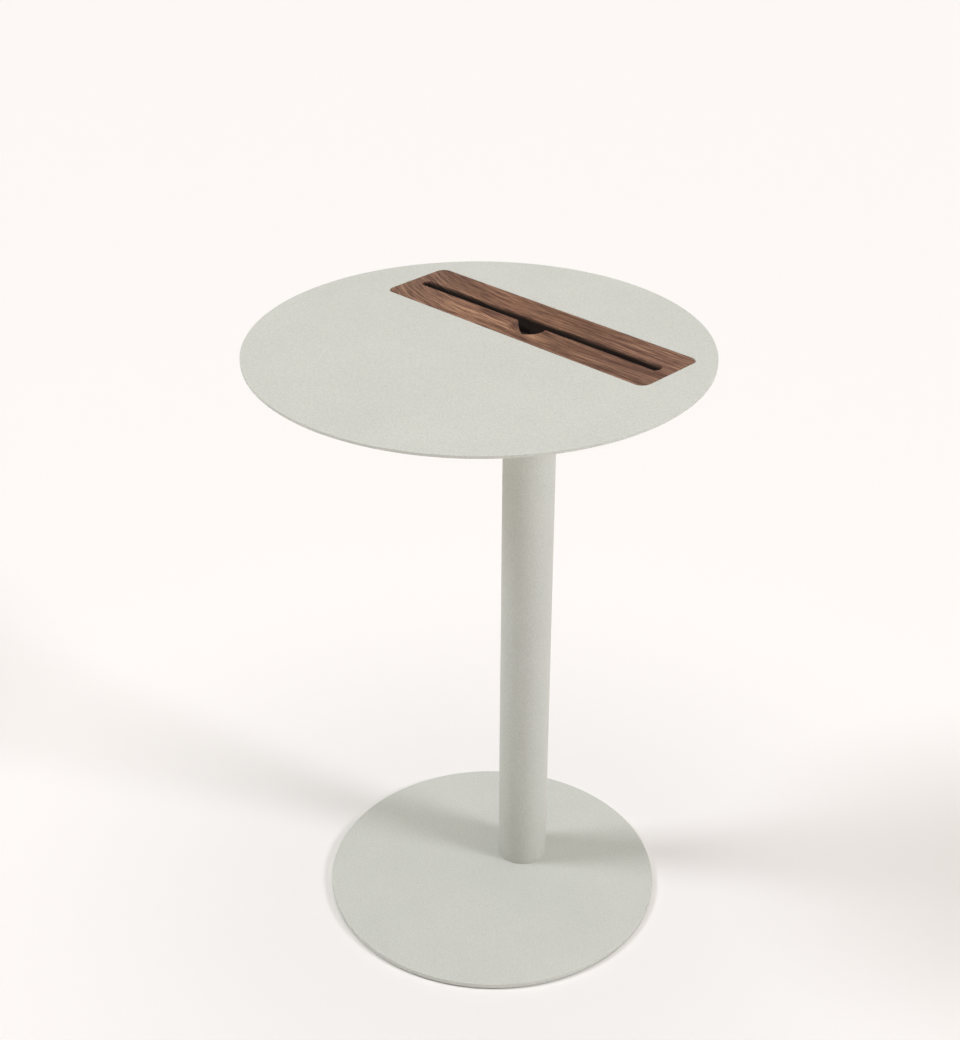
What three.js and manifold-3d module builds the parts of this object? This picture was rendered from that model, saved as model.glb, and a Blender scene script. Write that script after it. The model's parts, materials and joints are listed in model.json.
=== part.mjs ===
import * as THREE from "three";
import { mergeVertices } from "three/addons/utils/BufferGeometryUtils.js";
import Module from "manifold-3d";

const wasm = await Module();
wasm.setup();

// A small round side table whose wooden insert holds a tablet upright.
// Lengths are in millimetres. +Z is up and the floor is z = 0. X runs along the insert,
// the reader sits on the -Y side, and the YZ plane is the plane of symmetry.

// Driving dimensions of the whole table
const TABLE_HEIGHT = 610;
const TOP_DIAMETER = 415;
const TOP_THICKNESS = 3;
const BASE_DIAMETER = 335;
const BASE_THICKNESS = 5;
const BASE_Y = 22;
const COLUMN_DIAMETER = 50;
const COLUMN_WALL = 2;
const COLUMN_Y = 68;
const PLATE_EDGE_BREAK = 0.4;

// The wooden insert and the seam round it
const INSERT_LENGTH = 310;
const INSERT_WIDTH = 76;
const INSERT_THICKNESS = 18;
const INSERT_CORNER = 8.6;
const INSERT_EDGE_BREAK = 0.5;
const INSERT_Y = 73.5;
const SEAM = 0.4;

// The slot leans back, and its mouth is centred on the insert
const SLOT_TILT = THREE.MathUtils.degToRad(21.5);
const SLOT_LENGTH = 286;
const SLOT_WIDTH = 10.5;
const SLOT_CORNER = 4;
const SLOT_FRONT_DEPTH = 10;

// The thumb scoop is part of a sphere, centred above the wood and in front of the slot. The round of
// its lip would rise SCOOP_LIP_CUT above the wood, so it meets the surface at a shallow angle.
const SCOOP_RADIUS = 18;
const SCOOP_RISE = 6.3;
const SCOOP_LIP = 2.5;
const SCOOP_LIP_CUT = 0.1;
const SCOOP_FORWARD = 11;

// The folded tray that carries the insert and joins the top to the column
const SHEET = 2.5;
const SHEET_BEND = 1.5;
const TRAY_CLEARANCE = 1.75;
const TRAY_FLANGE = 16;
const TRAY_SIDE_LENGTH = 296;
const TRAY_END_WIDTH = 70;

// The plate welded on the column's upper end, with its locating spigot
const HEAD_PLATE_DIAMETER = 96;
const HEAD_PLATE_THICKNESS = 5;
const SPIGOT_DIAMETER = 45.2;
const SPIGOT_DEPTH = 6;

// The plug welded in the column's lower end
const PLUG_DIAMETER = 45.2;
const PLUG_THICKNESS = 12;

// Felt glides under the base
const GLIDE_DIAMETER = 22;
const GLIDE_THICKNESS = 1.5;
const GLIDE_RING_RADIUS = 148;
const GLIDE_COUNT = 6;

// Fasteners
const STUD = { radius: 2.5, length: 12, collarRadius: 3.2, collarHeight: 0.75 };
const STUD_COLUMNS = [-120, 0, 120];
const FLANGE_NUT = { acrossFlats: 8, height: 4.75, flangeRadius: 5.9, flangeHeight: 1.25 };
const WOOD_SCREW = { radius: 2, length: 13, headRadius: 4, headHeight: 2.5 };
const WOOD_SCREW_X = 118;
const WOOD_SCREW_SPREAD = 25;
const CLINCH_NUT = { radius: 5.5, height: 4, shankRadius: 4.1 };
const HEAD_SCREW = { radius: 3, headRadius: 5.25, headHeight: 3.25, reach: 11 };
const WASHER = { radius: 6, thickness: 1.25 };
const HEAD_SCREW_RING_RADIUS = 33;
const BASE_SCREW = { radius: 3, headRadius: 6, headHeight: 3.25, length: 14 };
const BASE_SCREW_RING_RADIUS = 13;
const BASE_SCREW_COUNT = 3;
const SOCKET_RATIO = 1.3; // across the flats of a hexagon socket, over the radius of its screw
const THREAD_CLEARANCE = 0.1;
const HOLE_CLEARANCE = 0.3;
const POCKET_CLEARANCE = 1;

// Levels, worked out from the top down and from the floor up
const TOP_UNDERSIDE = TABLE_HEIGHT - TOP_THICKNESS;
const FLANGE_UNDERSIDE = TOP_UNDERSIDE - SHEET;
const INSERT_UNDERSIDE = TABLE_HEIGHT - INSERT_THICKNESS;
const TRAY_UNDERSIDE = INSERT_UNDERSIDE - SHEET;
const COLUMN_TOP = TRAY_UNDERSIDE - HEAD_PLATE_THICKNESS;
const BASE_UNDERSIDE = GLIDE_THICKNESS;
const COLUMN_FOOT = BASE_UNDERSIDE + BASE_THICKNESS;

// How finely round things are divided
const PLATE_SEGMENTS = 120;
const COLUMN_SEGMENTS = 60;
const GLIDE_SEGMENTS = 24;
const HARDWARE_SEGMENTS = 16;
const CORNER_SEGMENTS = 6;
const SCOOP_SEGMENTS = 48;
const BOWL_SEGMENTS = 12;
const EDGE_SEGMENTS = 1;

// Where the slot's mouth starts, and where the tray's walls and studs stand
const SLOT_MOUTH = SLOT_WIDTH / Math.cos(SLOT_TILT);
const TRAY_HALF_WIDTH = INSERT_WIDTH / 2 + TRAY_CLEARANCE;
const TRAY_HALF_LENGTH = INSERT_LENGTH / 2 + TRAY_CLEARANCE;
const STUD_SPREAD = TRAY_HALF_WIDTH + SHEET + TRAY_FLANGE / 2;

// ---------------------------------------------------------------- outlines

// Points of an arc, both ends included.
function arc(x, y, radius, from, to, segments) {
  return Array.from({ length: segments + 1 }, (_, i) => {
    const angle = from + ((to - from) * i) / segments;
    return new THREE.Vector2(x + radius * Math.cos(angle), y + radius * Math.sin(angle));
  });
}

// A full circle, counter-clockwise, without repeating its first point.
function circle(radius, segments) {
  return arc(0, 0, radius, 0, 2 * Math.PI, segments).slice(0, -1);
}

// A rectangle with round corners, centred on the origin, counter-clockwise.
function roundedRectangle(length, width, corner) {
  const x = length / 2 - corner;
  const y = width / 2 - corner;
  const quarter = Math.PI / 2;
  const centres = [[x, y], [-x, y], [-x, -y], [x, -y]];
  return centres.flatMap(([cx, cy], i) =>
    arc(cx, cy, corner, i * quarter, (i + 1) * quarter, CORNER_SEGMENTS));
}

// The outline of a sheet of metal folded along a line, with a round bend at each inner point.
function foldedOutline(line, thickness, bend) {
  const middleRadius = bend + thickness / 2;
  const left = [];
  const right = [];
  const lay = (point, normal) => {
    left.push(point.clone().addScaledVector(normal, thickness / 2));
    right.push(point.clone().addScaledVector(normal, -thickness / 2));
  };
  const normalOf = (direction) => new THREE.Vector2(-direction.y, direction.x);
  line.forEach((point, i) => {
    const before = i > 0 ? point.clone().sub(line[i - 1]).normalize() : null;
    const after = i < line.length - 1 ? line[i + 1].clone().sub(point).normalize() : null;
    if (!before || !after) {
      lay(point, normalOf(before || after));
      return;
    }
    const turn = Math.sign(before.cross(after));
    const start = point.clone().addScaledVector(before, -middleRadius);
    const centre = start.clone().addScaledVector(normalOf(before), turn * middleRadius);
    for (let step = 0; step <= CORNER_SEGMENTS / 2; step += 1) {
      const angle = (turn * Math.PI * step) / CORNER_SEGMENTS;
      const normal = normalOf(before).rotateAround(new THREE.Vector2(), angle);
      lay(centre.clone().addScaledVector(normal, -turn * middleRadius), normal);
    }
  });
  return right.concat(left.reverse());
}

// ------------------------------------------------------------------ solids

// A closed three.js geometry as a solid.
function solid(geometry) {
  const bare = geometry.index ? geometry.toNonIndexed() : geometry.clone();
  bare.deleteAttribute("normal");
  bare.deleteAttribute("uv");
  const merged = mergeVertices(bare, 1e-4);
  return new wasm.Manifold(new wasm.Mesh({
    numProp: 3,
    vertProperties: merged.attributes.position.array,
    triVerts: new Uint32Array(merged.index.array),
  }));
}

// An outline raised from z = bottom, with holes and a rounded edge where one is asked for.
function plate(outline, bottom, thickness, holes = [], edge = 0) {
  const shape = new THREE.Shape(outline);
  shape.holes = holes.map((hole) => new THREE.Path(hole));
  const geometry = new THREE.ExtrudeGeometry(shape, {
    depth: thickness - 2 * edge,
    bevelEnabled: edge > 0,
    bevelThickness: edge,
    bevelSize: edge,
    bevelOffset: -edge,
    bevelSegments: EDGE_SEGMENTS,
  });
  return geometry.translate(0, 0, bottom + edge);
}

// A profile of [radius, z] pairs, counter-clockwise, turned about Z.
function turned(profile, segments = HARDWARE_SEGMENTS) {
  const points = profile.map(([radius, z]) => new THREE.Vector2(radius, z));
  return new THREE.LatheGeometry(points, segments).rotateX(Math.PI / 2);
}

// A plain round bar between two levels.
function bar(radius, bottom, top, segments = HARDWARE_SEGMENTS) {
  return turned([[0, bottom], [radius, bottom], [radius, top], [0, top]], segments);
}

// A six-sided bar between two levels.
function hexBar(acrossFlats, bottom, top) {
  return plate(circle(acrossFlats / Math.sqrt(3), 6), bottom, top - bottom);
}

function moved(geometry, x, y) {
  return geometry.clone().translate(x, y, 0);
}

// A solid with every one of the cutting solids taken away.
function without(body, cutters) {
  return cutters.reduce((left, cutter) => left.subtract(cutter), body);
}

// The same solid repeated at each point.
function copies(geometry, points) {
  return points.map((point) => solid(moved(geometry, point.x, point.y)));
}

function join(...pieces) {
  return pieces.map(solid).reduce((all, piece) => all.add(piece));
}

// --------------------------------------------------------------- positions

function ringPoints(count, radius, x, y, startAngle) {
  return arc(x, y, radius, startAngle, startAngle + 2 * Math.PI, count).slice(0, -1);
}

const HEAD_SCREW_POINTS = ringPoints(4, HEAD_SCREW_RING_RADIUS, 0, COLUMN_Y, Math.PI / 4);
const BASE_SCREW_POINTS = ringPoints(BASE_SCREW_COUNT, BASE_SCREW_RING_RADIUS, 0, COLUMN_Y, Math.PI / 2);
const GLIDE_POINTS = ringPoints(GLIDE_COUNT, GLIDE_RING_RADIUS, 0, BASE_Y, Math.PI / 2);
const SIDES = [-1, 1];
const STUD_POINTS = SIDES.flatMap((side) =>
  STUD_COLUMNS.map((x) => new THREE.Vector2(x, INSERT_Y + side * STUD_SPREAD)));
const WOOD_SCREW_POINTS = SIDES.flatMap((side) =>
  SIDES.map((end) => new THREE.Vector2(end * WOOD_SCREW_X, INSERT_Y + side * WOOD_SCREW_SPREAD)));

// --------------------------------------------------------------- materials

function material(color, roughness, metalness) {
  return new THREE.MeshStandardMaterial({ color, roughness, metalness });
}

const powderCoat = () => material(0xd3d6cd, 0.7, 0);
const walnut = () => material(0x8a6550, 0.6, 0);
const zinc = () => material(0xb4b8bb, 0.4, 0.9);
const felt = () => material(0x4a4a48, 0.95, 0);

// -------------------------------------------------------------- sub-parts

// The thin steel disc, with a rounded rectangular opening for the insert.
function tabletopPlate() {
  const opening = roundedRectangle(INSERT_LENGTH + 2 * SEAM, INSERT_WIDTH + 2 * SEAM, INSERT_CORNER + SEAM)
    .map((point) => point.setY(point.y + INSERT_Y));
  const disc = circle(TOP_DIAMETER / 2, PLATE_SEGMENTS);
  return solid(plate(disc, TOP_UNDERSIDE, TOP_THICKNESS, [opening], PLATE_EDGE_BREAK));
}

// Leans a geometry back about the front edge of the slot's mouth, which is its own origin.
function leanedInSlot(geometry) {
  return geometry.rotateX(-SLOT_TILT).translate(0, INSERT_Y - SLOT_MOUTH / 2, TABLE_HEIGHT);
}

// The slot's own volume.
function slotCutter() {
  const overrun = SLOT_WIDTH;
  const outline = roundedRectangle(SLOT_LENGTH, SLOT_WIDTH, SLOT_CORNER)
    .map((point) => point.setY(point.y + SLOT_WIDTH / 2));
  return solid(leanedInSlot(plate(outline, -SLOT_FRONT_DEPTH, SLOT_FRONT_DEPTH + overrun)));
}

// The bowl that lets a thumb reach the lower rim of the tablet, with a soft lip, stopping inside the slot.
function scoopCutter() {
  const quarter = Math.PI / 2;
  const lipDrop = SCOOP_LIP - SCOOP_LIP_CUT;
  const lipReach = Math.sqrt((SCOOP_RADIUS + SCOOP_LIP) ** 2 - (SCOOP_RISE + lipDrop) ** 2);
  const lipAngle = Math.atan2(lipReach, SCOOP_RISE + lipDrop);
  const bowl = arc(0, SCOOP_RISE, SCOOP_RADIUS, -quarter, lipAngle - quarter, BOWL_SEGMENTS);
  const lip = arc(lipReach, -lipDrop, SCOOP_LIP, quarter + lipAngle, quarter, CORNER_SEGMENTS).slice(1);
  const profile = [...bowl, ...lip].map((point) => [Math.max(point.x, 0), point.y]);
  const hollow = turned([...profile, [lipReach, SCOOP_RADIUS], [0, SCOOP_RADIUS]], SCOOP_SEGMENTS)
    .translate(0, INSERT_Y - SCOOP_FORWARD, TABLE_HEIGHT);
  const reach = 3 * SCOOP_RADIUS;
  const inFront = leanedInSlot(
    new THREE.BoxGeometry(reach, reach, reach).translate(0, (SLOT_WIDTH - reach) / 2, 0));
  return solid(hollow).intersect(solid(inFront));
}

// The solid wood block, flush with the top of the plate.
function walnutInsert() {
  const outline = roundedRectangle(INSERT_LENGTH, INSERT_WIDTH, INSERT_CORNER);
  const block = plate(outline, INSERT_UNDERSIDE, INSERT_THICKNESS, [], INSERT_EDGE_BREAK)
    .translate(0, INSERT_Y, 0);
  const below = INSERT_UNDERSIDE - 1;
  const pocket = bar(
    CLINCH_NUT.radius + POCKET_CLEARANCE, below, INSERT_UNDERSIDE + CLINCH_NUT.height + HOLE_CLEARANCE);
  const pilot = bar(
    WOOD_SCREW.radius + THREAD_CLEARANCE, below, TRAY_UNDERSIDE + WOOD_SCREW.length + HOLE_CLEARANCE);
  return without(solid(block), [
    slotCutter(),
    scoopCutter(),
    ...copies(pocket, HEAD_SCREW_POINTS),
    ...copies(pilot, WOOD_SCREW_POINTS),
  ]);
}

// The tray: a hat-shaped channel with long flanges, and two turned-up ends.
function insertTray() {
  const floor = INSERT_UNDERSIDE - SHEET / 2;
  const flange = TOP_UNDERSIDE - SHEET / 2;
  const side = TRAY_HALF_WIDTH + SHEET / 2;
  const end = TRAY_HALF_LENGTH + SHEET / 2;
  const lip = TRAY_HALF_WIDTH + SHEET + TRAY_FLANGE;
  const line = (pairs) => pairs.map(([across, z]) => new THREE.Vector2(across, z));
  const hat = line([
    [-lip, flange], [-side, flange], [-side, floor],
    [side, floor], [side, flange], [lip, flange],
  ]);
  const cradle = line([[-end, TOP_UNDERSIDE], [-end, floor], [end, floor], [end, TOP_UNDERSIDE]]);
  const channel = plate(foldedOutline(hat, SHEET, SHEET_BEND), -TRAY_SIDE_LENGTH / 2, TRAY_SIDE_LENGTH)
    .rotateX(Math.PI / 2)
    .rotateZ(Math.PI / 2)
    .translate(0, INSERT_Y, 0);
  const ends = plate(foldedOutline(cradle, SHEET, SHEET_BEND), -TRAY_END_WIDTH / 2, TRAY_END_WIDTH)
    .rotateX(Math.PI / 2)
    .translate(0, INSERT_Y, 0);
  const hole = (radius) => bar(radius, TRAY_UNDERSIDE - 1, TOP_UNDERSIDE + 1);
  const holes = [
    [STUD_POINTS, STUD.collarRadius],
    [HEAD_SCREW_POINTS, CLINCH_NUT.shankRadius],
    [WOOD_SCREW_POINTS, WOOD_SCREW.radius],
  ];
  const drills = holes.flatMap(([points, radius]) => copies(hole(radius + HOLE_CLEARANCE), points));
  return without(join(channel, ends), drills);
}

// A stud welded on the underside of the top, standing downwards.
function trayStud(point) {
  const tip = TOP_UNDERSIDE - STUD.length;
  const collar = TOP_UNDERSIDE - STUD.collarHeight;
  const chamfer = STUD.radius / 4;
  return solid(turned([
    [0, tip],
    [STUD.radius - chamfer, tip],
    [STUD.radius, tip + chamfer],
    [STUD.radius, collar],
    [STUD.collarRadius, collar],
    [STUD.collarRadius, TOP_UNDERSIDE],
    [0, TOP_UNDERSIDE],
  ]).translate(point.x, point.y, 0));
}

// A flanged nut that draws the tray's flange up against the top.
function trayNut(point) {
  const top = FLANGE_UNDERSIDE;
  const flange = bar(FLANGE_NUT.flangeRadius, top - FLANGE_NUT.flangeHeight, top);
  const hex = hexBar(FLANGE_NUT.acrossFlats, top - FLANGE_NUT.height, top - FLANGE_NUT.flangeHeight / 2);
  const bore = bar(STUD.radius + THREAD_CLEARANCE, top - FLANGE_NUT.height - 1, top + 1);
  return join(flange, hex).subtract(solid(bore)).translate([point.x, point.y, 0]);
}

// A screw with a domed head at z = 0, its shank pointing up and a hexagon socket below.
function domedScrew({ radius, headRadius, headHeight }, reach) {
  const dome = arc(0, 0, 1, -Math.PI / 2, 0, CORNER_SEGMENTS / 2)
    .map(({ x, y }) => [headRadius * x, headHeight * y]);
  const body = turned([...dome, [radius, 0], [radius, reach], [0, reach]]);
  const socket = hexBar(SOCKET_RATIO * radius, -headHeight - 1, -headHeight / 2);
  return without(solid(body), [solid(socket)]);
}

// A wood screw through the tray's floor into the insert.
function insertScrew(point) {
  return domedScrew(WOOD_SCREW, WOOD_SCREW.length).translate([point.x, point.y, TRAY_UNDERSIDE]);
}

// A threaded nut pressed into the tray's floor, standing up into a pocket of the insert.
function clinchNut(point) {
  const top = INSERT_UNDERSIDE + CLINCH_NUT.height;
  const bore = HEAD_SCREW.radius + THREAD_CLEARANCE;
  return solid(turned([
    [bore, TRAY_UNDERSIDE],
    [CLINCH_NUT.shankRadius, TRAY_UNDERSIDE],
    [CLINCH_NUT.shankRadius, INSERT_UNDERSIDE],
    [CLINCH_NUT.radius, INSERT_UNDERSIDE],
    [CLINCH_NUT.radius, top],
    [bore, top],
    [bore, TRAY_UNDERSIDE],
  ]).translate(point.x, point.y, 0));
}

// The round plate on the column's upper end; its spigot drops into the tube.
function headPlate() {
  const rim = HEAD_PLATE_DIAMETER / 2;
  const spigot = SPIGOT_DIAMETER / 2;
  const body = turned([
    [0, COLUMN_TOP - SPIGOT_DEPTH],
    [spigot, COLUMN_TOP - SPIGOT_DEPTH],
    [spigot, COLUMN_TOP],
    [rim - PLATE_EDGE_BREAK, COLUMN_TOP],
    [rim, COLUMN_TOP + PLATE_EDGE_BREAK],
    [rim, TRAY_UNDERSIDE - PLATE_EDGE_BREAK],
    [rim - PLATE_EDGE_BREAK, TRAY_UNDERSIDE],
    [0, TRAY_UNDERSIDE],
  ], COLUMN_SEGMENTS).translate(0, COLUMN_Y, 0);
  const hole = bar(HEAD_SCREW.radius + HOLE_CLEARANCE, COLUMN_TOP - 1, TRAY_UNDERSIDE + 1);
  return without(solid(body), copies(hole, HEAD_SCREW_POINTS));
}

// A washer under the head of each screw in the head plate.
function headWasher(point) {
  const bottom = COLUMN_TOP - WASHER.thickness;
  const bore = HEAD_SCREW.radius + HOLE_CLEARANCE;
  return solid(turned([
    [bore, bottom],
    [WASHER.radius, bottom],
    [WASHER.radius, COLUMN_TOP],
    [bore, COLUMN_TOP],
    [bore, bottom],
  ]).translate(point.x, point.y, 0));
}

// A screw from below through the head plate into its clinch nut.
function headScrew(point) {
  return domedScrew(HEAD_SCREW, HEAD_SCREW.reach + WASHER.thickness)
    .translate([point.x, point.y, COLUMN_TOP - WASHER.thickness]);
}

// The plain round column.
function columnTube() {
  const outer = COLUMN_DIAMETER / 2;
  const inner = outer - COLUMN_WALL;
  return solid(turned([
    [inner, COLUMN_FOOT],
    [outer, COLUMN_FOOT],
    [outer, COLUMN_TOP],
    [inner, COLUMN_TOP],
    [inner, COLUMN_FOOT],
  ], COLUMN_SEGMENTS).translate(0, COLUMN_Y, 0));
}

// The threaded plug in the column's foot.
function columnPlug() {
  const body = bar(PLUG_DIAMETER / 2, COLUMN_FOOT, COLUMN_FOOT + PLUG_THICKNESS, COLUMN_SEGMENTS);
  const thread = bar(BASE_SCREW.radius + THREAD_CLEARANCE, COLUMN_FOOT - 1, COLUMN_FOOT + PLUG_THICKNESS + 1);
  return without(solid(moved(body, 0, COLUMN_Y)), copies(thread, BASE_SCREW_POINTS));
}

// The shape of a flat-headed screw from below the base to a given tip, grown all round by a gap.
function flatScrew(gap, bottom, tip) {
  const { radius, headRadius, headHeight } = BASE_SCREW;
  return turned([
    [0, bottom],
    [headRadius + gap, bottom],
    [headRadius + gap, BASE_UNDERSIDE + PLATE_EDGE_BREAK],
    [radius + gap, BASE_UNDERSIDE + headHeight],
    [radius + gap, tip],
    [0, tip],
  ]);
}

// A screw from below through the base plate into the column's plug.
function baseScrew(point) {
  const body = flatScrew(0, BASE_UNDERSIDE, BASE_UNDERSIDE + BASE_SCREW.length);
  const socket = hexBar(
    SOCKET_RATIO * BASE_SCREW.radius, BASE_UNDERSIDE - 1, BASE_UNDERSIDE + BASE_SCREW.headHeight / 2);
  return without(solid(body), [solid(socket)]).translate([point.x, point.y, 0]);
}

// The heavy steel disc on the floor, set off-centre under the column.
function basePlate() {
  const disc = plate(
    circle(BASE_DIAMETER / 2, PLATE_SEGMENTS), BASE_UNDERSIDE, BASE_THICKNESS, [], PLATE_EDGE_BREAK);
  const countersink = flatScrew(HOLE_CLEARANCE, BASE_UNDERSIDE - 1, COLUMN_FOOT + 1);
  return without(solid(moved(disc, 0, BASE_Y)), copies(countersink, BASE_SCREW_POINTS));
}

// A felt disc that keeps the base off the floor.
function baseGlide(point) {
  return solid(moved(bar(GLIDE_DIAMETER / 2, 0, GLIDE_THICKNESS, GLIDE_SEGMENTS), point.x, point.y));
}

// ---------------------------------------------------------------- assembly

const group = new THREE.Group();
group.name = "tablet_side_table";

// Adds one solid as one named mesh.
function place(name, body, surface) {
  const made = body.getMesh();
  const geometry = new THREE.BufferGeometry();
  geometry.setAttribute("position", new THREE.BufferAttribute(made.vertProperties, 3));
  geometry.setIndex(new THREE.BufferAttribute(made.triVerts, 1));
  const faceted = geometry.toNonIndexed();
  faceted.computeVertexNormals();
  const mesh = new THREE.Mesh(faceted, surface);
  mesh.name = name;
  group.add(mesh);
}

// Adds one copy of a fastener at each point, numbered from 1.
function placeAll(name, points, make, surface) {
  points.forEach((point, i) => place(name + "_" + (i + 1), make(point), surface()));
}

place("tabletop_plate", tabletopPlate(), powderCoat());
place("walnut_insert", walnutInsert(), walnut());
place("insert_tray", insertTray(), powderCoat());
place("column_head_plate", headPlate(), powderCoat());
place("column_tube", columnTube(), powderCoat());
place("column_foot_plug", columnPlug(), zinc());
place("base_plate", basePlate(), powderCoat());
placeAll("tray_stud", STUD_POINTS, trayStud, zinc);
placeAll("tray_nut", STUD_POINTS, trayNut, zinc);
placeAll("insert_screw", WOOD_SCREW_POINTS, insertScrew, zinc);
placeAll("clinch_nut", HEAD_SCREW_POINTS, clinchNut, zinc);
placeAll("head_washer", HEAD_SCREW_POINTS, headWasher, zinc);
placeAll("head_screw", HEAD_SCREW_POINTS, headScrew, zinc);
placeAll("base_screw", BASE_SCREW_POINTS, baseScrew, zinc);
placeAll("base_glide", GLIDE_POINTS, baseGlide, felt);

export default group;
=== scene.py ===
"""Looks of the round side table: camera, studio light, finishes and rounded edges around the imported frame."""

import json
import math

import bmesh
import bpy
from mathutils import Matrix, Vector


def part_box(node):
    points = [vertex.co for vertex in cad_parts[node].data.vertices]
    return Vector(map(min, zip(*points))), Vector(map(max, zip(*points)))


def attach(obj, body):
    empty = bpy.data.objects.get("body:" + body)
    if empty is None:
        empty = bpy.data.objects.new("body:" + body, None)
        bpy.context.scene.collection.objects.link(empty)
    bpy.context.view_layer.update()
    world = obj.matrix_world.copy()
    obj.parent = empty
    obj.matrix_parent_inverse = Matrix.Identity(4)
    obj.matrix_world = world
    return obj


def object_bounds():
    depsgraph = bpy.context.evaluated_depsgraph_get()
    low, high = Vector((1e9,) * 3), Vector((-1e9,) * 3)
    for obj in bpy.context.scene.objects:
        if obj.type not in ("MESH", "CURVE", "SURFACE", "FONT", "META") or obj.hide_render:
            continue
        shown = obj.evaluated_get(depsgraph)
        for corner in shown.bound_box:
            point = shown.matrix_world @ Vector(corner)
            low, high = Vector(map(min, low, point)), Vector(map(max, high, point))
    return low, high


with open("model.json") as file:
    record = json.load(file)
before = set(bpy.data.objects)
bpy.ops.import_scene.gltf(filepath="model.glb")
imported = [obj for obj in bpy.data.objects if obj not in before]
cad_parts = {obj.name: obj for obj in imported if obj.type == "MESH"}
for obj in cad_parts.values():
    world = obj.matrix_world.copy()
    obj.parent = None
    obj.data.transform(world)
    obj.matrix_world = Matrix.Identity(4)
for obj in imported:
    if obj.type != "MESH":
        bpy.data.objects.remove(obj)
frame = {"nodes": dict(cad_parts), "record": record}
cad_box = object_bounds()
nodes = frame["nodes"]

MM = 0.001
NOISE_MIDDLE = 0.5

# Camera: its lens and sensor, its place in metres, and its turn from looking straight down.
LENS_MM = 59.885
SENSOR_MM = 36.0
CAMERA_PLACE = (0.96316, -1.00115, 1.21849)
CAMERA_PITCH = math.radians(60.63)
CAMERA_YAW = math.radians(43.84)
CAMERA_ROLL = math.radians(0.19)

# Lamps. A direction points from the table to the lamp, level with the floor, and the elevation is in
# degrees. A lamp's share is what it alone gives a white surface that faces it, where 1 is white.
KEY = {"direction": (0.94, 0.34), "elevation": 31, "share": 0.455, "colour": (0.93, 0.92, 0.97)}
FILL = {"direction": (-0.71, -0.70), "elevation": 45, "share": 0.385, "colour": (0.89, 0.92, 0.97)}
LAMP_WIDTH = math.radians(17)

# Sky. Its rows are (height of a direction, colour), where the height is 0 at the horizon and 1 straight up,
# and SKY_STRENGTH scales them: neutral from the horizon down, warm just above it, dim half way up, and wide
# and soft overhead. Behind the table it is SKY_SEEN, a plain pale backdrop that the floor fades into.
SKY_STRENGTH = 2.0
SKY_BELOW = (0.40, 0.39, 0.375)
SKY_WARM = (0.20, 0.12, 0.08)
SKY_DIM = (0.02, 0.02, 0.02)
SKY_OVERHEAD = (0.872, 0.822, 0.775)
SKY_ROWS = (
    (0.0, SKY_BELOW),
    (0.01, SKY_WARM),
    (0.16, SKY_WARM),
    (0.27, SKY_DIM),
    (0.78, SKY_DIM),
    (0.86, SKY_OVERHEAD),
)
SKY_SEEN = (0.487, 0.467, 0.449)

FLOOR_HALF = 18.0
FLOOR_COLOUR = (0.925, 0.916, 0.897, 1)
FLOOR_ROUGHNESS = 0.9
FLOOR_GLOSS = 0.1

# The insert, its slot and the column in the frame, which the walnut's figure and the weld bead follow.
INSERT_LOW, INSERT_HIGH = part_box("walnut_insert")
COLUMN_LOW, COLUMN_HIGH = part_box("column_tube")
SLOT_FLOOR = next(m for m in frame["record"]["mounts"] if m["name"] == "tablet_foot_rest")
# The slot's half width, and the depth below the insert's top where the painted shade in the slot is full.
SLOT_HALF_WIDTH = 5.25 * MM
SLOT_SHADE_DEPTH = 3.2 * MM

# Rounding of edges that the frame leaves sharp, by material slot: the width, the steps across it, and the
# least angle of an edge that gets it. The wood's chamfers are below its angle and stay as they are.
SMOOTH_ANGLE = math.radians(32)
ROUNDING = {
    "powder_coat": (0.18 * MM, 3, SMOOTH_ANGLE),
    "walnut": (0.2 * MM, 3, math.radians(50)),
    "zinc_steel": (0.12 * MM, 2, SMOOTH_ANGLE),
    "felt": (0.3 * MM, 2, SMOOTH_ANGLE),
}
WELD_DISTANCE = 0.001 * MM
FLAT_ANGLE = math.radians(0.3)

# The weld bead between the column and its head plate. The ripple depth is a share of the leg, and the
# flattening is how much lower the middle of the bead's face is than on a quarter circle.
BEAD_LEG = 3 * MM
BEAD_RIPPLES = 72
BEAD_RIPPLE_STEPS = 5
BEAD_RIPPLE_DEPTH = 0.08
BEAD_ARC_STEPS = 6
BEAD_FLATTENING = 0.18


# Node trees ---------------------------------------------------------------------------------------


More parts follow.
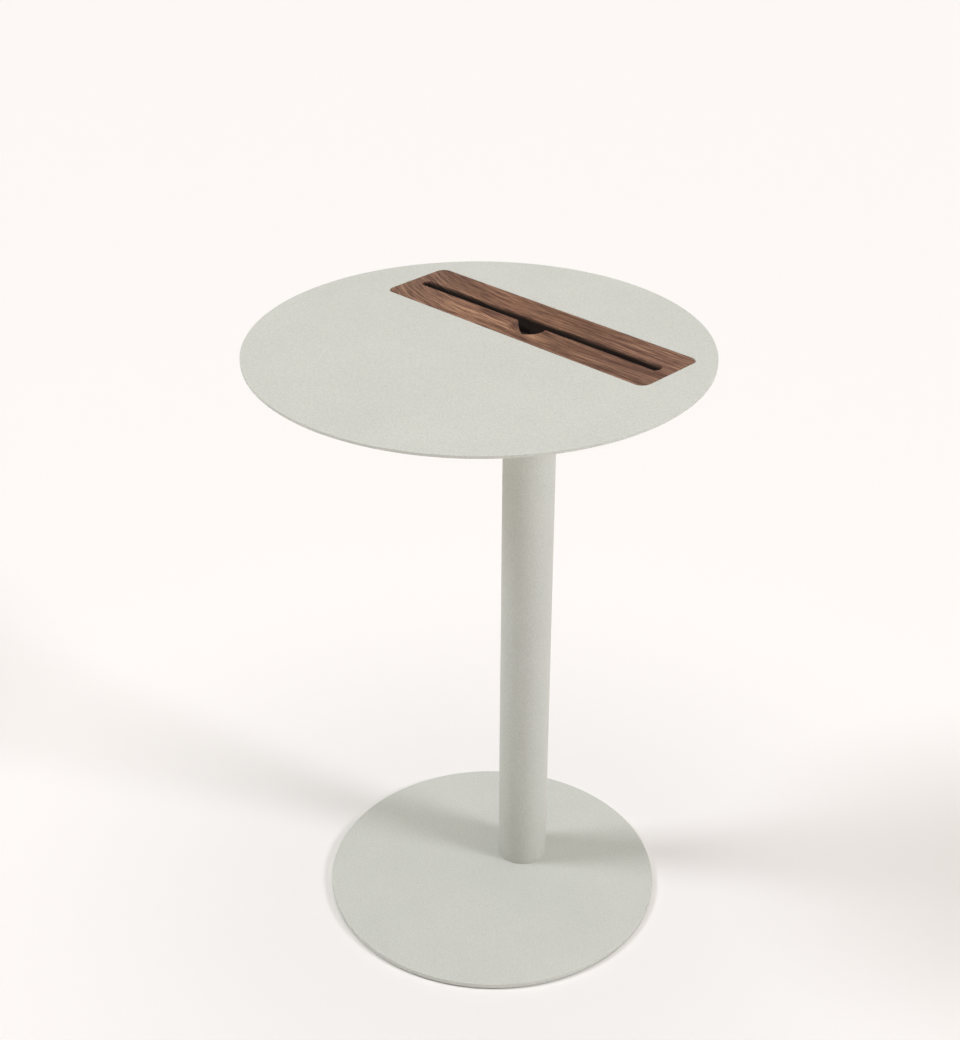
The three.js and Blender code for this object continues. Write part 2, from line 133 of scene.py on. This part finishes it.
class Tree:
    """Short ways to add nodes to a node tree. A link's source may be a node or one of its sockets."""

    def __init__(self, tree):
        self.tree = tree

    def add(self, kind, **settings):
        node = self.tree.nodes.new(kind)
        for name, value in settings.items():
            setattr(node, name, value)
        return node

    def set(self, node, **inputs):
        for name, value in inputs.items():
            self.feed(node.inputs[name.replace("_", " ")], value)
        return node

    def feed(self, socket, value):
        if isinstance(value, bpy.types.Node):
            value = value.outputs[0]
        if isinstance(value, bpy.types.NodeSocket):
            self.tree.links.new(value, socket)
        else:
            socket.default_value = value

    def math(self, operation, first, second=0.0):
        node = self.add("ShaderNodeMath", operation=operation)
        self.feed(node.inputs[0], first)
        self.feed(node.inputs[1], second)
        return node.outputs[0]

    def scaled(self, vector, factors):
        node = self.add("ShaderNodeVectorMath", operation="MULTIPLY")
        self.feed(node.inputs[0], vector)
        self.feed(node.inputs[1], factors)
        return node.outputs[0]

    def combined(self, x, y, z):
        node = self.add("ShaderNodeCombineXYZ")
        for socket, value in zip(node.inputs, (x, y, z)):
            self.feed(socket, value)
        return node.outputs[0]

    def noise(self, vector, scale, detail=2.0, roughness=0.5, distortion=0.0):
        """Noise with that many features in a metre."""
        node = self.add("ShaderNodeTexNoise")
        self.set(node, Vector=vector, Scale=scale, Detail=detail, Roughness=roughness, Distortion=distortion)
        return node.outputs["Fac"]

    def streaks(self, vector, scales, detail=2.0, roughness=0.5):
        """Noise with its own number of features in a metre along each axis."""
        return self.noise(self.scaled(vector, scales), 1, detail, roughness)

    def ramp(self, factor, *stops):
        """A colour ramp. A stop is (position, colour), and a colour may be one grey value."""
        node = self.add("ShaderNodeValToRGB")
        elements = node.color_ramp.elements
        while len(elements) < len(stops):
            elements.new(0.5)
        for element, (position, colour) in zip(elements, stops):
            element.position = position
            element.color = (colour,) * 3 + (1,) if isinstance(colour, (int, float)) else (*colour, 1)
        self.feed(node.inputs[0], factor)
        return node.outputs[0]

    def mix(self, factor, first, second, blend="MIX"):
        node = self.add("ShaderNodeMix", data_type="RGBA", blend_type=blend)
        colours = [s for s in node.inputs if s.type == "RGBA"]
        self.feed(node.inputs[0], factor)
        self.feed(colours[0], first)
        self.feed(colours[1], second)
        return [s for s in node.outputs if s.type == "RGBA"][0]

    def shaded(self, colour, factor):
        """The colour times the factor."""
        return self.mix(1.0, colour, factor, "MULTIPLY")

    def painted(self, colour, paint, mask, strength):
        """The colour with that much of the paint over it where the mask is 1, and none where it is 0."""
        return self.mix(self.math("MULTIPLY", mask, strength), colour, (*paint, 1))

    def range(self, value, low, high, to_low=0.0, to_high=1.0):
        """The value moved from low..high to to_low..to_high, and held between those two."""
        node = self.add("ShaderNodeMapRange")
        self.feed(node.inputs[0], value)
        for socket, number in zip(node.inputs[1:5], (low, high, to_low, to_high)):
            socket.default_value = number
        return node.outputs[0]

    def bump(self, height, distance, strength, normal=None):
        node = self.add("ShaderNodeBump")
        self.set(node, Height=height, Distance=distance, Strength=strength)
        if normal is not None:
            self.feed(node.inputs["Normal"], normal)
        return node.outputs[0]

    def outer_edge_mask(self, radius):
        """1 on an outer edge narrower than the radius, and 0 on a flat face."""
        flat_likeness, edge_likeness = 0.995, 0.80
        rounded = self.add("ShaderNodeBevel", samples=4)
        rounded.inputs["Radius"].default_value = radius
        flat = self.add("ShaderNodeNewGeometry")
        dot = self.add("ShaderNodeVectorMath", operation="DOT_PRODUCT")
        self.feed(dot.inputs[0], rounded.outputs[0])
        self.feed(dot.inputs[1], flat.outputs["Normal"])
        return self.range(dot.outputs["Value"], flat_likeness, edge_likeness)


def material(slot):
    """The frame's material of that slot, emptied, with its Tree, its shader and its object coordinates."""
    made = bpy.data.materials[slot]
    made.use_nodes = True
    made.node_tree.nodes.clear()
    tree = Tree(made.node_tree)
    output = tree.add("ShaderNodeOutputMaterial")
    shader = tree.add("ShaderNodeBsdfPrincipled")
    tree.feed(output.inputs["Surface"], shader.outputs[0])
    place = tree.add("ShaderNodeTexCoord").outputs["Object"]
    return tree, shader, place


# Finishes -----------------------------------------------------------------------------------------


def powder_coat():
    """Pale warm grey powder coat: a sandy texture, faint clouding, flecks, wipe marks, and outer edges paler
    partly from rubbing and partly as a painted edge highlight.
    """
    tree, shader, place = material("powder_coat")
    dark, pale = (0.625, 0.648, 0.596), (0.662, 0.682, 0.628)
    fleck_paint, fleck_strength = (0.50, 0.50, 0.44), 0.35
    wear_and_highlight_paint, wear_and_highlight_strength, wear_and_highlight_radius, wear_and_highlight_polish = (0.74, 0.75, 0.70), 0.35, 0.5 * MM, 0.12

    sand = tree.noise(place, scale=1050, detail=4, roughness=0.72)
    peel = tree.noise(place, scale=330)
    cloud = tree.noise(place, scale=9, detail=4, roughness=0.6)
    speck = tree.noise(place, scale=640, detail=1)
    wipe = tree.noise(tree.scaled(place, (5, 11, 5)), scale=3, detail=5, roughness=0.65, distortion=1.5)
    worn_and_highlit = tree.math("MULTIPLY", tree.outer_edge_mask(wear_and_highlight_radius), tree.range(cloud, 0.40, 0.62))

    colour = tree.ramp(cloud, (0.30, dark), (0.70, pale))
    colour = tree.shaded(colour, tree.ramp(sand, (0.28, 0.79), (0.72, 1.17)))
    colour = tree.painted(colour, fleck_paint, tree.range(speck, 0.68, 0.76), fleck_strength)
    # Paler paint on outer edges: partly wear, partly a painted edge highlight.
    colour = tree.painted(colour, wear_and_highlight_paint, worn_and_highlit, wear_and_highlight_strength)
    tree.feed(shader.inputs["Base Color"], colour)

    wiped = tree.range(wipe, 0.30, 0.70, 0.50, 0.62)
    sandy = tree.range(sand, 0.3, 0.7, -0.04, 0.05)
    rough = tree.math("ADD", wiped, sandy)
    rough = tree.math("SUBTRACT", rough, tree.math("MULTIPLY", worn_and_highlit, wear_and_highlight_polish))
    tree.feed(shader.inputs["Roughness"], rough)
    shader.inputs["IOR"].default_value = 1.48

    relief = tree.bump(sand, distance=0.10 * MM, strength=0.55)
    relief = tree.bump(peel, distance=0.12 * MM, strength=0.35, normal=relief)
    tree.feed(shader.inputs["Normal"], relief)


def slot_shade_mask(tree, place):
    """Mask of painted shade in the tablet's slot: 0 outside it, a step up at its rim, and 1 from
    SLOT_SHADE_DEPTH down.
    """
    fade_start, fade_end = 1.15 * SLOT_HALF_WIDTH, 1.02 * SLOT_HALF_WIDTH
    _, up_y, up_z = SLOT_FLOOR["axis"]
    _, floor_y, floor_z = SLOT_FLOOR["pos_m"]
    split = tree.add("ShaderNodeSeparateXYZ")
    tree.feed(split.inputs[0], place)
    from_y = tree.math("MULTIPLY", split.outputs["Y"], up_z)
    from_z = tree.math("MULTIPLY", split.outputs["Z"], up_y)
    sideways = tree.math("SUBTRACT", from_y, from_z)
    sideways = tree.math("SUBTRACT", sideways, floor_y * up_z - floor_z * up_y)
    inside = tree.range(tree.math("ABSOLUTE", sideways), fade_start, fade_end)
    deep = tree.range(split.outputs["Z"], INSERT_HIGH.z, INSERT_HIGH.z - SLOT_SHADE_DEPTH)
    shade = tree.ramp(deep, (0.10, 0.0), (0.22, 0.32), (0.60, 0.75), (1.0, 1.0))
    return tree.math("MULTIPLY", inside, shade)


def grain_space(tree, place):
    """Coordinates along and across the grain, which swings towards the back at the insert's left end."""
    swing, reach, lean = 30 * MM, 50 * MM, 0.55
    wander_width, ripple_width, right_ripple = 7 * MM, 4.5 * MM, 0.25
    split = tree.add("ShaderNodeSeparateXYZ")
    tree.feed(split.inputs[0], place)
    x, y, z = split.outputs
    end = tree.math("DIVIDE", tree.math("SUBTRACT", INSERT_LOW.x, x), reach)
    end = tree.math("EXPONENT", end)
    wander = tree.streaks(place, (7, 20, 20))
    wander = tree.math("MULTIPLY", tree.math("SUBTRACT", wander, NOISE_MIDDLE), wander_width)
    ripple = tree.streaks(place, (42, 75, 75), detail=3, roughness=0.6)
    ripple = tree.math("MULTIPLY", tree.math("SUBTRACT", ripple, NOISE_MIDDLE), ripple_width)
    ripple = tree.math("MULTIPLY", ripple, tree.range(x, INSERT_LOW.x, INSERT_HIGH.x, 1.0, right_ripple))
    across = tree.math("SUBTRACT", y, tree.math("MULTIPLY", end, swing))
    across = tree.math("ADD", across, tree.math("MULTIPLY", tree.math("SUBTRACT", z, INSERT_HIGH.z), lean))
    across = tree.math("ADD", across, tree.math("ADD", wander, ripple))
    return tree.combined(x, across, z), x


def walnut_wood(tree, line, band, x):
    """The wood's own colour: growth lines in broader bands, with a cooler cast at both ends."""
    band_share, line_share = 0.30, 0.70
    bands = tree.math("MULTIPLY", band, band_share)
    lines = tree.math("MULTIPLY", line, line_share)
    tone = tree.math("ADD", bands, lines)
    colour = tree.ramp(
        tone,
        (0.34, (0.092, 0.043, 0.029)),
        (0.42, (0.160, 0.082, 0.053)),
        (0.50, (0.248, 0.132, 0.085)),
        (0.58, (0.355, 0.201, 0.126)),
        (0.66, (0.510, 0.308, 0.190)),
    )
    cast = tree.ramp(
        tree.range(x, INSERT_LOW.x, INSERT_HIGH.x),
        (0.0, (0.84, 0.90, 0.97)),
        (0.30, (1.05, 1.03, 1.01)),
        (0.60, (0.96, 0.94, 0.92)),
        (1.0, (0.92, 0.93, 1.0)),
    )
    return tree.shaded(colour, cast)


def walnut():
    """Oiled walnut: growth lines, fibres and pores along the grain, outer edges paler partly from wear and
    partly as a painted edge highlight, and painted shade deep in the slot.
    """
    tree, shader, place = material("walnut")
    dark_hair_paint, dark_hair_strength = (0.060, 0.030, 0.024), 0.75
    pale_hair_paint, pale_hair_strength = (0.560, 0.350, 0.215), 0.32
    pore_paint, pore_strength, pore_dulling = (0.045, 0.023, 0.018), 0.62, 0.22
    wear_and_highlight_paint, wear_and_highlight_strength, wear_and_highlight_radius, wear_and_highlight_polish = (0.36, 0.21, 0.13), 0.25, 0.9 * MM, 0.08
    slot_shade_paint, slot_shade_strength, slot_shade_dulling = (0.006, 0.003, 0.002), 0.97, 0.30

    along, x = grain_space(tree, place)
    band = tree.streaks(along, (4, 80, 14))
    line = tree.streaks(along, (13, 340, 50), detail=4, roughness=0.75)
    hair = tree.streaks(along, (34, 640, 100), detail=3, roughness=0.6)
    fibre = tree.streaks(along, (90, 2800, 420), detail=3, roughness=0.6)
    patch = tree.streaks(place, (14, 30, 30), detail=3, roughness=0.55)
    pore = tree.range(tree.streaks(along, (260, 3400, 1500), detail=1), 0.635, 0.70)
    worn_and_highlit = tree.outer_edge_mask(wear_and_highlight_radius)
    # Painted shade: the slot's walls darken with depth below the insert's top, standing in for the shade inside
    # the slot.
    slot_shade = slot_shade_mask(tree, place)

    colour = walnut_wood(tree, line, band, x)
    colour = tree.shaded(colour, tree.ramp(patch, (0.30, 0.86), (0.70, 1.12)))
    colour = tree.shaded(colour, tree.ramp(fibre, (0.28, 0.74), (0.72, 1.20)))
    colour = tree.painted(colour, dark_hair_paint, tree.range(hair, 0.48, 0.38), dark_hair_strength)
    colour = tree.painted(colour, pale_hair_paint, tree.range(hair, 0.53, 0.64), pale_hair_strength)
    colour = tree.painted(colour, pore_paint, pore, pore_strength)
    # Paler wood on outer edges: partly wear, partly a painted edge highlight.
    colour = tree.painted(colour, wear_and_highlight_paint, worn_and_highlit, wear_and_highlight_strength)
    # Painted shade over the slot's walls, near black from SLOT_SHADE_DEPTH down, with duller roughness there.
    colour = tree.painted(colour, slot_shade_paint, slot_shade, slot_shade_strength)
    tree.feed(shader.inputs["Base Color"], colour)

    rough = tree.range(line, 0.3, 0.7, 0.54, 0.44)
    rough = tree.math("ADD", rough, tree.math("MULTIPLY", pore, pore_dulling))
    rough = tree.math("ADD", rough, tree.range(patch, 0.3, 0.7, -0.04, 0.05))
    rough = tree.math("SUBTRACT", rough, tree.math("MULTIPLY", worn_and_highlit, wear_and_highlight_polish))
    rough = tree.math("ADD", rough, tree.math("MULTIPLY", slot_shade, slot_shade_dulling))
    tree.feed(shader.inputs["Roughness"], rough)
    shader.inputs["IOR"].default_value = 1.34

    relief = tree.bump(tree.math("SUBTRACT", 1.0, pore), distance=0.09 * MM, strength=0.8)
    relief = tree.bump(fibre, distance=0.05 * MM, strength=0.5, normal=relief)
    relief = tree.bump(line, distance=0.08 * MM, strength=0.35, normal=relief)
    tree.feed(shader.inputs["Normal"], relief)


def zinc_steel():
    """Bright zinc plate: a faint blue and straw cast, fine turning lines, dulled patches."""
    tree, shader, place = material("zinc_steel")
    blue, plain, straw = (0.56, 0.585, 0.62), (0.63, 0.635, 0.63), (0.66, 0.63, 0.55)
    dull_paint, dull_strength, dull_roughness = (0.40, 0.41, 0.41), 0.5, 0.22

    cast = tree.noise(place, scale=160, detail=3, roughness=0.6)
    blot = tree.noise(place, scale=520, detail=4, roughness=0.65)
    grind = tree.streaks(place, (900, 900, 5200))
    dull = tree.range(blot, 0.55, 0.75)

    colour = tree.ramp(cast, (0.32, blue), (0.52, plain), (0.72, straw))
    colour = tree.painted(colour, dull_paint, dull, dull_strength)
    tree.feed(shader.inputs["Base Color"], colour)
    shader.inputs["Metallic"].default_value = 1.0

    turned = tree.range(grind, 0.3, 0.7, 0.26, 0.38)
    rough = tree.math("ADD", turned, tree.math("MULTIPLY", dull, dull_roughness))
    tree.feed(shader.inputs["Roughness"], rough)
    relief = tree.bump(blot, distance=0.03 * MM, strength=0.4)
    relief = tree.bump(grind, distance=0.02 * MM, strength=0.5, normal=relief)
    tree.feed(shader.inputs["Normal"], relief)


def felt():
    """Dense dark felt: matted fibres, paler fluff and a soft sheen."""
    tree, shader, place = material("felt")
    deep, middle, fluff = (0.028, 0.028, 0.026), (0.075, 0.074, 0.070), (0.17, 0.168, 0.16)

    mat = tree.noise(place, scale=900, detail=5, roughness=0.7, distortion=2.5)
    clump = tree.noise(place, scale=190, detail=3, roughness=0.6)
    colour = tree.ramp(mat, (0.30, deep), (0.55, middle), (0.75, fluff))
    colour = tree.shaded(colour, tree.ramp(clump, (0.3, 0.75), (0.7, 1.2)))
    tree.feed(shader.inputs["Base Color"], colour)
    tree.feed(shader.inputs["Roughness"], tree.range(mat, 0.3, 0.7, 0.98, 0.86))
    shader.inputs["Sheen Weight"].default_value = 0.4
    shader.inputs["Sheen Roughness"].default_value = 0.6
    relief = tree.bump(clump, distance=0.3 * MM, strength=0.5)
    relief = tree.bump(mat, distance=0.25 * MM, strength=0.9, normal=relief)
    tree.feed(shader.inputs["Normal"], relief)


# Surfaces -----------------------------------------------------------------------------------------


def smooth_by_angle():
    """A geometry node group that shades smooth and keeps edges sharper than SMOOTH_ANGLE."""
    group = bpy.data.node_groups.new("smooth_by_angle", "GeometryNodeTree")
    group.interface.new_socket("Geometry", in_out="INPUT", socket_type="NodeSocketGeometry")
    group.interface.new_socket("Geometry", in_out="OUTPUT", socket_type="NodeSocketGeometry")
    tree = Tree(group)
    given = tree.add("NodeGroupInput")
    faces = tree.add("GeometryNodeSetShadeSmooth", domain="FACE")
    edges = tree.add("GeometryNodeSetShadeSmooth", domain="EDGE")
    angle = tree.add("GeometryNodeInputMeshEdgeAngle")
    sharp = tree.add("FunctionNodeCompare", data_type="FLOAT", operation="GREATER_THAN")
    tree.feed(sharp.inputs[0], angle.outputs[0])
    tree.feed(sharp.inputs[1], SMOOTH_ANGLE)
    tree.feed(faces.inputs[0], given.outputs[0])
    tree.feed(edges.inputs[0], faces.outputs[0])
    tree.feed(edges.inputs["Selection"], sharp.outputs[0])
    edges.inputs["Shade Smooth"].default_value = False
    result = tree.add("NodeGroupOutput")
    tree.feed(result.inputs[0], edges.outputs[0])
    return group


def refine(node, width, segments, least_angle, group):
    """Welds a node's facets, joins the flat ones, rounds its sharp edges, and shades it smooth.

    The last modifier keeps large flat faces level in the shading, next to the narrow rounded edges.
    """
    mesh = node.data
    for name in ("custom_normal", "sharp_edge", "sharp_face"):
        if name in mesh.attributes:
            mesh.attributes.remove(mesh.attributes[name])
    weld = node.modifiers.new("weld", "WELD")
    weld.merge_threshold = WELD_DISTANCE
    flat = node.modifiers.new("flat", "DECIMATE")
    flat.decimate_type = "DISSOLVE"
    flat.angle_limit = FLAT_ANGLE
    bevel = node.modifiers.new("rounding", "BEVEL")
    bevel.width = width
    bevel.segments = segments
    bevel.limit_method = "ANGLE"
    bevel.angle_limit = least_angle
    bevel.use_clamp_overlap = False
    smooth = node.modifiers.new("smooth", "NODES")
    smooth.node_group = group
    level = node.modifiers.new("level", "WEIGHTED_NORMAL")
    level.keep_sharp = True


def refine_all():
    """Every CAD node keeps its shape and place, and gets fine edges that suit what it is made of."""
    group = smooth_by_angle()
    slots = {part["node"]: part["material_slot"] for part in frame["record"]["subparts"]}
    for name, node in nodes.items():
        refine(node, *ROUNDING[slots[name]], group)


def mesh_object(name, form, finish):
    """A new object in the scene with the form's mesh and one material."""
    mesh = bpy.data.meshes.new(name)
    form.to_mesh(mesh)
    form.free()
    mesh.materials.append(finish)
    made = bpy.data.objects.new(name, mesh)
    bpy.context.scene.collection.objects.link(made)
    return made


def bead_outline(leg):
    """The bead's section as (out, up) from the corner it fills: the corner, then its flattened round face."""
    outline = [(0.0, 0.0)]
    for step in range(BEAD_ARC_STEPS + 1):
        lean = math.pi / 2 * step / BEAD_ARC_STEPS
        size = leg * (1 - BEAD_FLATTENING * math.sin(2 * lean))
        outline.append((size * math.sin(lean), -size * math.cos(lean)))
    return outline


def bead_ring(form, turn, turns):
    """The vertices of one section of the bead, at that turn of all the turns round the column."""
    centre = (COLUMN_LOW + COLUMN_HIGH) / 2
    radius = (COLUMN_HIGH.x - COLUMN_LOW.x) / 2
    angle = math.tau * turn / turns
    leg = BEAD_LEG * (1 - BEAD_RIPPLE_DEPTH * abs(math.cos(math.pi * turn / BEAD_RIPPLE_STEPS)))
    ring = []
    for out, up in bead_outline(leg):
        x = centre.x + (radius + out) * math.cos(angle)
        y = centre.y + (radius + out) * math.sin(angle)
        ring.append(form.verts.new((x, y, COLUMN_HIGH.z + up)))
    return ring


def weld_bead():
    """A rippled fillet of coated weld in the corner between the column and its head plate."""
    form = bmesh.new()
    turns = BEAD_RIPPLES * BEAD_RIPPLE_STEPS
    rings = [bead_ring(form, turn, turns) for turn in range(turns)]
    for ring, following in zip(rings, rings[1:] + rings[:1]):
        for i in range(len(ring)):
            j = (i + 1) % len(ring)
            form.faces.new((ring[i], ring[j], following[j], following[i])).smooth = True
    bmesh.ops.recalc_face_normals(form, faces=form.faces)
    made = mesh_object("head_weld_bead", form, bpy.data.materials["powder_coat"])
    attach(made, "root")


# Light and camera ---------------------------------------------------------------------------------


def lamp(name, direction, elevation, share, colour):
    """A soft lamp far from the table, as wide as LAMP_WIDTH looks from there."""
    level = Vector((*direction, 0)).normalized()
    height = math.radians(elevation)
    back = level * math.cos(height) + Vector((0, 0, math.sin(height)))
    data = bpy.data.lights.new(name, "SUN")
    data.angle = LAMP_WIDTH
    data.color = colour
    data.energy = math.pi * share
    made = bpy.data.objects.new(name, data)
    made.rotation_mode = "QUATERNION"
    made.rotation_quaternion = (-back).to_track_quat("-Z", "Y")
    bpy.context.scene.collection.objects.link(made)


def sky():
    """Soft light from all round by SKY_ROWS, which the camera sees as the plain backdrop SKY_SEEN."""
    world = bpy.data.worlds.new("sky")
    world.use_nodes = True
    world.node_tree.nodes.clear()
    tree = Tree(world.node_tree)
    split = tree.add("ShaderNodeSeparateXYZ")
    tree.feed(split.inputs[0], tree.add("ShaderNodeTexCoord").outputs["Generated"])
    light = tree.ramp(split.outputs["Z"], *SKY_ROWS)
    seen = tree.add("ShaderNodeLightPath").outputs["Is Camera Ray"]
    shader = tree.add("ShaderNodeBackground")
    tree.feed(shader.inputs["Color"], tree.mix(seen, light, (*SKY_SEEN, 1)))
    shader.inputs["Strength"].default_value = SKY_STRENGTH
    output = tree.add("ShaderNodeOutputWorld")
    tree.feed(output.inputs["Surface"], shader.outputs[0])
    bpy.context.scene.world = world


def floor():
    """A pale matt floor, level with the undersides of the felt glides."""
    form = bmesh.new()
    bmesh.ops.create_grid(form, x_segments=1, y_segments=1, size=FLOOR_HALF)
    paint = bpy.data.materials.new("studio_floor")
    paint.use_nodes = True
    shader = paint.node_tree.nodes["Principled BSDF"]
    shader.inputs["Base Color"].default_value = FLOOR_COLOUR
    shader.inputs["Roughness"].default_value = FLOOR_ROUGHNESS
    shader.inputs["Specular IOR Level"].default_value = FLOOR_GLOSS
    made = mesh_object("studio_floor", form, paint)
    made.location.z = cad_box[0].z


def camera():
    """The camera, above the table and to the reader's right."""
    data = bpy.data.cameras.new("camera")
    data.sensor_width = SENSOR_MM
    data.lens = LENS_MM
    made = bpy.data.objects.new("camera", data)
    turn = Matrix.Rotation(CAMERA_YAW, 4, "Z") @ Matrix.Rotation(CAMERA_PITCH, 4, "X")
    turn = turn @ Matrix.Rotation(CAMERA_ROLL, 4, "Z")
    made.matrix_world = Matrix.Translation(CAMERA_PLACE) @ turn
    bpy.context.scene.collection.objects.link(made)
    bpy.context.scene.camera = made


camera()
sky()
lamp("key", **KEY)
lamp("fill", **FILL)
floor()
powder_coat()
walnut()
zinc_steel()
felt()
refine_all()
weld_bead()
bpy.context.scene.view_settings.view_transform = "Standard"
